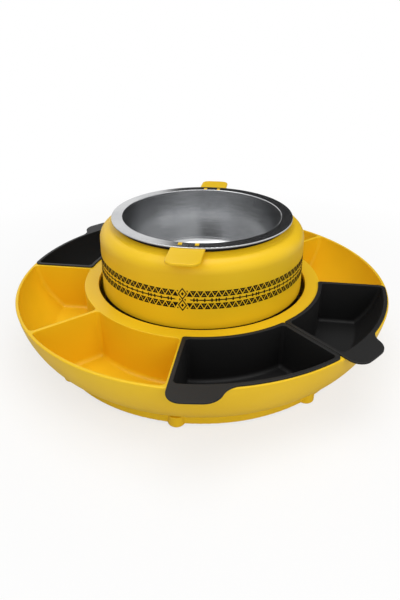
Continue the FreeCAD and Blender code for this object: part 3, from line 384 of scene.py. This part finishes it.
yellow_shell = moulded_plastic("yellow_shell", srgb(243, 199, 30), srgb(238, 193, 26),
                               (0.34, 0.44), 1800.0, 8e-6, shine=0.32)
black_shell = moulded_plastic("black_shell", srgb(29, 28, 28), srgb(24, 24, 24),
                              (0.46, 0.58), 1200.0, 2e-5, shine=0.28)
black_print = moulded_plastic("black_print", srgb(24, 18, 10), srgb(20, 16, 10),
                              (0.5, 0.6), 2500.0, 3e-6, shine=0.12)
bearing_plastic = moulded_plastic("bearing_plastic", srgb(222, 220, 212),
                                  srgb(210, 208, 200), (0.35, 0.45), 1500.0, 6e-6)
pad_rubber = moulded_plastic("pad_rubber", srgb(40, 40, 41), srgb(30, 30, 31),
                             (0.7, 0.85), 900.0, 4e-5)
brown_resin = moulded_plastic("brown_resin", srgb(48, 34, 26), srgb(40, 28, 22),
                              (0.45, 0.6), 1400.0, 1e-5)
white_ceramic = moulded_plastic("white_ceramic", srgb(232, 228, 216), srgb(220, 214, 200),
                                (0.5, 0.65), 2200.0, 2e-5)
brown_lead = moulded_plastic("brown_lead", srgb(110, 62, 34), srgb(98, 54, 30),
                             (0.4, 0.5), 1600.0, 6e-6)
blue_lead = moulded_plastic("blue_lead", srgb(46, 92, 168), srgb(38, 80, 150),
                            (0.4, 0.5), 1600.0, 6e-6)
pot_steel = brushed_metal("pot_steel", srgb(204, 205, 206), srgb(190, 191, 193),
                          (0.17, 0.25), depth=1.2e-6)
liner_steel = brushed_metal("liner_steel", srgb(190, 190, 190), srgb(168, 168, 168),
                            (0.3, 0.45))
ball_steel = brushed_metal("ball_steel", srgb(215, 216, 218), srgb(205, 206, 208),
                           (0.08, 0.14), 1500.0)
screw_zinc = brushed_metal("screw_zinc", srgb(190, 190, 182), srgb(172, 172, 164),
                           (0.3, 0.42), 2500.0, 1.0)
cast_plate = brushed_metal("cast_plate", srgb(160, 160, 162), srgb(140, 140, 142),
                           (0.4, 0.55), 500.0, 0.2, 1.5e-5)
element_sheath = brushed_metal("element_sheath", srgb(96, 88, 80), srgb(70, 66, 62),
                               (0.5, 0.65), 900.0, 1.0)

NODE_MATERIALS = {
    "serving_dish": yellow_shell, "base_pan": yellow_shell, "heater_housing": yellow_shell,
    "pot_handle_front": yellow_shell, "pot_handle_rear": yellow_shell,
    "tray_1": black_shell, "tray_2": black_shell, "tray_3": black_shell,
    "tray_4": black_shell, "seat_ring": black_shell, "housing_sleeve": black_shell,
    "ball_cage": black_shell, "foot_pads": pad_rubber, "cord_gland": pad_rubber,
    "lower_race": bearing_plastic, "upper_race": bearing_plastic,
    "bearing_balls": ball_steel, "housing_screws": screw_zinc, "tie_bolts": screw_zinc,
    "chassis_posts": screw_zinc, "fuse_clip": screw_zinc, "terminal_screws": screw_zinc,
    "inner_liner": liner_steel, "plate_spacers": white_ceramic,
    "thermal_fuse": white_ceramic, "terminal_block": white_ceramic,
    "heating_plate": cast_plate, "heating_element": element_sheath,
    "thermostat": brown_resin, "lead_live": brown_lead, "lead_neutral": blue_lead,
    "pot": pot_steel,
}

for name, material in NODE_MATERIALS.items():
    nodes[name].data.materials.clear()
    nodes[name].data.materials.append(material)


# Fastenings and feet under the base

HEAD_FOOT, HEAD_RISE, HEAD_RADIUS = 0.9, 2.1, 3.5
SHANK_RADIUS, THREAD_PITCH = 1.5, 1.0
PAD_RADIUS, PAD_RISE = 5.4, 2.0
TIE_AZIMUTHS = (22.5, 142.5, 262.5)


def copies_round(piece, azimuths):
    """Copies of a piece turned about the upright axis, each with its own mesh. The piece
    itself is used up."""
    copies = []
    for azimuth in azimuths:
        copy = piece.copy()
        copy.data = piece.data.copy()
        copy.data.transform(Matrix.Rotation(math.radians(azimuth), 4, "Z"))
        bpy.context.scene.collection.objects.link(copy)
        copies.append(copy)
    bpy.data.objects.remove(piece)
    return copies


def join_pieces(name, pieces):
    deselect_all()
    for piece in pieces:
        piece.select_set(True)
    bpy.context.view_layer.objects.active = pieces[0]
    bpy.ops.object.join()
    joined = bpy.context.object
    joined.name = joined.data.name = name
    return joined


def move_out(piece, radius):
    """Moves a piece that was turned on the axis to the front, by a radius in millimetres."""
    deselect_all()
    piece.select_set(True)
    bpy.context.view_layer.objects.active = piece
    piece.location = (0, -radius * MM, 0)
    bpy.ops.object.transform_apply(location=True)
    return piece


def cross_screws(name, tip, threads, circle, azimuths):
    """Screws with domed heads that look down, a cross recess and a thread near the tip."""
    outline = [(1.2, HEAD_FOOT), (2.4, HEAD_FOOT + 0.15), (3.2, HEAD_FOOT + 0.6),
               (HEAD_RADIUS, HEAD_FOOT + 1.2), (HEAD_RADIUS, HEAD_FOOT + HEAD_RISE),
               (SHANK_RADIUS, HEAD_FOOT + HEAD_RISE)]
    start = tip - 1 - threads * THREAD_PITCH
    for thread in range(threads):
        foot = start + thread * THREAD_PITCH
        outline += [(1.2, foot), (SHANK_RADIUS, foot + THREAD_PITCH / 2)]
    outline += [(1.2, tip - 1), (0.5, tip)]
    screw = close_ends(turn_on_lathe(name, outline, closed=False, sides=24))
    for turn in (0, 90):
        cut_slot(screw, (3.8, 0.8, 2.4), (0, 0, HEAD_FOOT), turn)
    screws = join_pieces(name, copies_round(move_out(smooth(screw), circle), azimuths))
    finish_piece(screws, "base", screw_zinc, (name,))


def ringed_pads():
    """Rubber pads that stand on a ring, with a hollow in the middle."""
    pad = close_ends(turn_on_lathe("foot_pads", [
        (1.6, 0.7), (2.8, 0.7), (3.2, 0.35), (3.3, 0.1), (3.6, 0), (4.7, 0), (5.1, 0.12),
        (PAD_RADIUS - 0.05, 0.4), (PAD_RADIUS, 0.8), (PAD_RADIUS, PAD_RISE)],
        closed=False, sides=48))
    pads = copies_round(move_out(smooth(pad), 172.5), [45 * foot for foot in range(8)])
    finish_piece(join_pieces("ringed_pads", pads), "base", pad_rubber,
                 ("foot_pads",))


cross_screws("housing_screws", 19.5, 9, 104, [45 + 90 * corner for corner in range(4)])
cross_screws("tie_bolts", 74.8, 12, 62, TIE_AZIMUTHS)
ringed_pads()


# Printed band round the housing

WALL_FOOT = (115.0, 69.6)
WALL_HEAD = (113.4, 127.0)
WALL_SLOPE = (WALL_FOOT[0] - WALL_HEAD[0]) / (WALL_HEAD[1] - WALL_FOOT[1])
BAND_MIDDLE = 101.4
BAND_START = -1.4
ORNAMENTS = (BAND_START, BAND_START + 180)
REPEATS = 104
STEP = 360 / REPEATS
PRINT_DEPTH = 0.1
ROW_NEAR, ROW_FAR = 3.4, 9.6
TRIANGLE_WIDTH, TRIANGLE_HEIGHT = 5.75, 5.15


def wall_radius(height):
    """Radius of the housing's sloping wall at a height, in millimetres."""
    return WALL_FOOT[0] - (height - WALL_FOOT[1]) * WALL_SLOPE


def printed_shape(name, corners, width, height, middle, turn=0, stroke=0):
    """Thin flat shape of three, four or six corners at the front of the housing's wall,
    in millimetres. A stroke leaves only its outline; the turn is on the wall, in degrees."""
    deselect_all()
    bpy.ops.mesh.primitive_circle_add(vertices=corners, radius=MM, fill_type="NGON")
    piece = name_piece(name)
    wide, tall = piece.dimensions.xy / MM
    piece.scale = (width / wide, height / tall, 1)
    bpy.ops.object.transform_apply(scale=True)
    piece.rotation_euler = (0, 0, math.radians(turn))
    bpy.ops.object.transform_apply(rotation=True)
    if stroke:
        edit(piece, "FACE")
        bpy.ops.mesh.select_all(action="SELECT")
        bpy.ops.mesh.inset(thickness=stroke * MM)
        bpy.ops.mesh.delete(type="FACE")
        leave(piece)
    thick = piece.modifiers.new("thick", "SOLIDIFY")
    thick.thickness = 2 * PRINT_DEPTH * MM
    thick.offset = 0
    bpy.ops.object.modifier_apply(modifier="thick")
    piece.rotation_euler = (math.pi / 2 - math.atan(WALL_SLOPE), 0, 0)
    piece.location = (0, -wall_radius(middle) * MM, middle * MM)
    bpy.ops.object.transform_apply(location=True, rotation=True)
    return piece


def on_both_sides(steps):
    """Azimuths of places that are counted in repeats, to the left and right of the
    band's start."""
    return [BAND_START + side * step * STEP for side in (-1, 1) for step in steps]


def bead_steps():
    """Places of the beads on the middle line: single ones, and groups of three after four
    and then after two single ones, up to the ornament at the back."""
    steps, place, singles = [1.6, 2.05, 3.1], 4.1, 4
    while place < REPEATS / 2 - 2:
        steps += [place, place + 0.6, place + 1]
        for single in range(singles):
            steps.append(place + 2 + single)
        place += singles + 2
        singles = 6 - singles
    return [step for step in steps if step < REPEATS / 2 - 1.4]


def printed_band():
    """Two rows of triangles with a beaded line between them and two diamonds, one over
    the other, at the front and at the back."""
    half = REPEATS // 2
    inner_steps = range(2, half - 1)
    pieces = []
    for side in (1, -1):
        turn = 0 if side > 0 else 180
        third = TRIANGLE_HEIGHT / 3
        near = BAND_MIDDLE + side * (ROW_NEAR + third)
        far = BAND_MIDDLE + side * (ROW_FAR - third)
        outward = printed_shape("triangle_out", 3, TRIANGLE_WIDTH, TRIANGLE_HEIGHT, near,
                                turn, 1.35)
        pieces += copies_round(outward, on_both_sides(inner_steps))
        solid = printed_shape("triangle_solid", 3, TRIANGLE_WIDTH, TRIANGLE_HEIGHT, near,
                              turn)
        pieces += copies_round(solid, on_both_sides((1, half - 1)))
        inward = printed_shape("triangle_in", 3, TRIANGLE_WIDTH, TRIANGLE_HEIGHT, far,
                               turn + 180, 1.35)
        pieces += copies_round(inward, on_both_sides([step + 0.5 for step
                                                      in range(1, half - 1)]))
        corner = printed_shape("triangle_corner", 3, 1.8, 1.8,
                               BAND_MIDDLE + side * (ROW_FAR - 0.6), turn + 180)
        pieces += copies_round(corner, on_both_sides((0.68, half - 0.68)))
        centre = BAND_MIDDLE + side * 6.1
        outline = printed_shape("diamond_outline", 4, 9.0, 12.8, centre, 0, 1.0)
        pieces += copies_round(outline, ORNAMENTS)
        middle = printed_shape("diamond_middle", 4, 2.9, 4.2, centre)
        pieces += copies_round(middle, ORNAMENTS)
        notch = printed_shape("notch", 3, 2.4, 1.8, BAND_MIDDLE, side * 90)
        pieces += copies_round(notch, [azimuth + side * 1.3 for azimuth in ORNAMENTS])
    bead = printed_shape("bead", 8, 1.7, 4.2, BAND_MIDDLE)
    pieces += copies_round(bead, on_both_sides(bead_steps()))
    pieces.append(middle_line())
    band = join_pieces("printed_band", pieces)
    finish_piece(band, "base", black_print)


def middle_line():
    """Thin line round the wall, open at the two ornaments."""
    low, high = BAND_MIDDLE - 0.55, BAND_MIDDLE + 0.55
    inside, outside = PRINT_DEPTH, 0.8 * PRINT_DEPTH
    line = turn_on_lathe("middle_line", [
        (wall_radius(low) - inside, low), (wall_radius(low) + outside, low),
        (wall_radius(high) + outside, high), (wall_radius(high) - inside, high)],
        sides=4 * REPEATS)
    line.data.transform(Matrix.Rotation(math.radians(BAND_START + STEP / 8), 4, "Z"))
    edit(line, "FACE")

    def at_ornament(middle, normal):
        azimuth = math.degrees(math.atan2(middle.x, -middle.y)) - BAND_START
        return min(abs(azimuth), abs(abs(azimuth) - 180)) < 1.12 * STEP

    pick_faces(line, at_ornament)
    bpy.ops.mesh.delete(type="FACE")
    bpy.ops.mesh.select_all(action="SELECT")
    bpy.ops.mesh.region_to_loop()
    bpy.ops.mesh.fill()
    bpy.ops.mesh.select_all(action="SELECT")
    bpy.ops.mesh.normals_make_consistent(inside=False)
    return leave(line)


printed_band()


# Trim

def housing_lip():
    """Low yellow bead round the mouth of the housing."""
    lip = turn_on_lathe("housing_lip", [
        (93.5, 139.6), (93.5, 142.2), (94.0, 142.7), (94.9, 142.7), (96.6, 141.6),
        (98.4, 140.5), (100.4, 139.9), (100.4, 139.6)])
    bevel_rings(lip, 94.9, 142.7, 0.5)
    bevel_rings(lip, 94.0, 142.7, 0.3)
    finish_piece(smooth(lip), "base", yellow_shell)


housing_lip()


# Camera and light

def look_from(azimuth, distance, height, pitch, lens):
    """Camera at a horizontal distance and height, looking down at a pitch in degrees."""
    turn = math.radians(azimuth)
    spot = Vector((math.sin(turn) * distance, -math.cos(turn) * distance, height))
    data = bpy.data.cameras.new("camera")
    data.lens = lens
    data.shift_x = -2 / 600
    camera = bpy.data.objects.new("camera", data)
    bpy.context.scene.collection.objects.link(camera)
    camera.location = spot
    camera.rotation_euler = (math.radians(90 - pitch), 0, turn)
    bpy.context.scene.camera = camera
    return camera


def soft_lamp(name, place, aim, size, power):
    """Square area lamp that points from its place at an aim."""
    data = bpy.data.lights.new(name, "AREA")
    data.shape = "SQUARE"
    data.size = size
    data.energy = power
    lamp = bpy.data.objects.new(name, data)
    bpy.context.scene.collection.objects.link(lamp)
    lamp.location = place
    lamp.rotation_euler = (Vector(place) - Vector(aim)).to_track_quat("Z", "Y").to_euler()
    return lamp


def seen_directly(tree):
    """One where the camera, a reflection or glass looks at a surface, nought for light."""
    rays = new_node(tree, "LightPath")
    return math_node(tree, "MAXIMUM", rays.outputs["Is Camera Ray"], math_node(
        tree, "MAXIMUM", rays.outputs["Is Glossy Ray"],
        rays.outputs["Is Transmission Ray"]))


def mix_shaders(tree, share, first, second, target):
    mix = new_node(tree, "MixShader")
    for source, socket in zip((share, first, second), mix.inputs):
        link(tree, source, socket)
    link(tree, mix.outputs[0], target)


def white_surround(strength):
    """World that lights softly and looks plain white."""
    world = bpy.data.worlds.new("studio")
    bpy.context.scene.world = world
    world.use_nodes = True
    tree = world.node_tree
    soft = tree.nodes["Background"]
    soft.inputs["Color"].default_value = (1, 1, 1, 1)
    soft.inputs["Strength"].default_value = strength
    shown = new_node(tree, "Background")
    shown.inputs["Color"].default_value = (1, 1, 1, 1)
    shown.inputs["Strength"].default_value = 1
    mix_shaders(tree, seen_directly(tree), soft.outputs[0], shown.outputs[0],
                tree.nodes["World Output"].inputs["Surface"])


def white_floor():
    """Pale floor that keeps the shadow near the object and is plain white farther off."""
    deselect_all()
    bpy.ops.mesh.primitive_circle_add(vertices=96, radius=6, fill_type="NGON")
    floor = name_piece("floor")
    material, tree, shader = new_material("pale_floor")
    rays = new_node(tree, "LightPath")
    # The camera sees the floor near white, bounce light sees it mid grey and reflections a
    # darker grey: painted shade in the bounce light and in the reflections that fall on the
    # bowl's underside and lower flanks.
    tone = blend_colours(tree, rays.outputs["Is Camera Ray"], (0.66, 0.66, 0.66, 1),
                         (0.93, 0.93, 0.93, 1))
    tone = blend_colours(tree, rays.outputs["Is Glossy Ray"], tone, (0.52, 0.52, 0.52, 1))
    link(tree, tone, shader.inputs["Base Color"])
    shader.inputs["Roughness"].default_value = 0.8
    shader.inputs["Specular IOR Level"].default_value = 0.1
    white = new_node(tree, "Emission")
    white.inputs["Color"].default_value = (1, 1, 1, 1)
    away = new_node(tree, "VectorMath", operation="LENGTH")
    link(tree, new_node(tree, "TexCoord").outputs["Object"], away.inputs[0])
    fade = spread(tree, away.outputs["Value"], 0.24, 0.6, 0.7, 1.0)
    mix_shaders(tree, math_node(tree, "MULTIPLY", fade, rays.outputs["Is Camera Ray"]),
                shader.outputs[0], white.outputs[0],
                tree.nodes["Material Output"].inputs["Surface"])
    floor.data.materials.append(material)


def dark_card():
    """Black card at the right behind the object, which only reflections see."""
    deselect_all()
    bpy.ops.mesh.primitive_plane_add(size=1, location=(0.8, 1.5, 1.0),
                                     rotation=(math.radians(90), 0, 0))
    card = name_piece("dark_card")
    card.scale = (2.32, 2.2, 1)
    bpy.ops.object.transform_apply(location=True, rotation=True, scale=True)
    material, tree, shader = new_material("card_black")
    shader.inputs["Base Color"].default_value = (0.01, 0.01, 0.011, 1)
    shader.inputs["Roughness"].default_value = 0.9
    card.data.materials.append(material)
    for way in ("camera", "diffuse", "transmission", "volume_scatter", "shadow"):
        setattr(card, f"visible_{way}", False)


def studio():
    """White surround and floor, four soft lamps and a dark card for the metal."""
    white_surround(0.29)
    white_floor()
    dark_card()
    soft_lamp("key", (-0.8, -0.8, 2.0), (0, 0, 0.08), 1.4, 9.2)
    fill = soft_lamp("fill", (1.3, -1.2, 1.3), (0, 0, 0.08), 1.4, 13)
    soft_lamp("top", (0.1, 0.2, 2.1), (0, 0, 0.08), 1.6, 18)
    low = soft_lamp("low", (0.1, -1.9, 0.35), (0, 0, 0.06), 1.2, 8.4)
    fill.visible_glossy = low.visible_glossy = False
    bpy.context.scene.view_settings.view_transform = "Standard"


look_from(8, 0.5191, 0.3278, 29.17, 29.28)
studio()
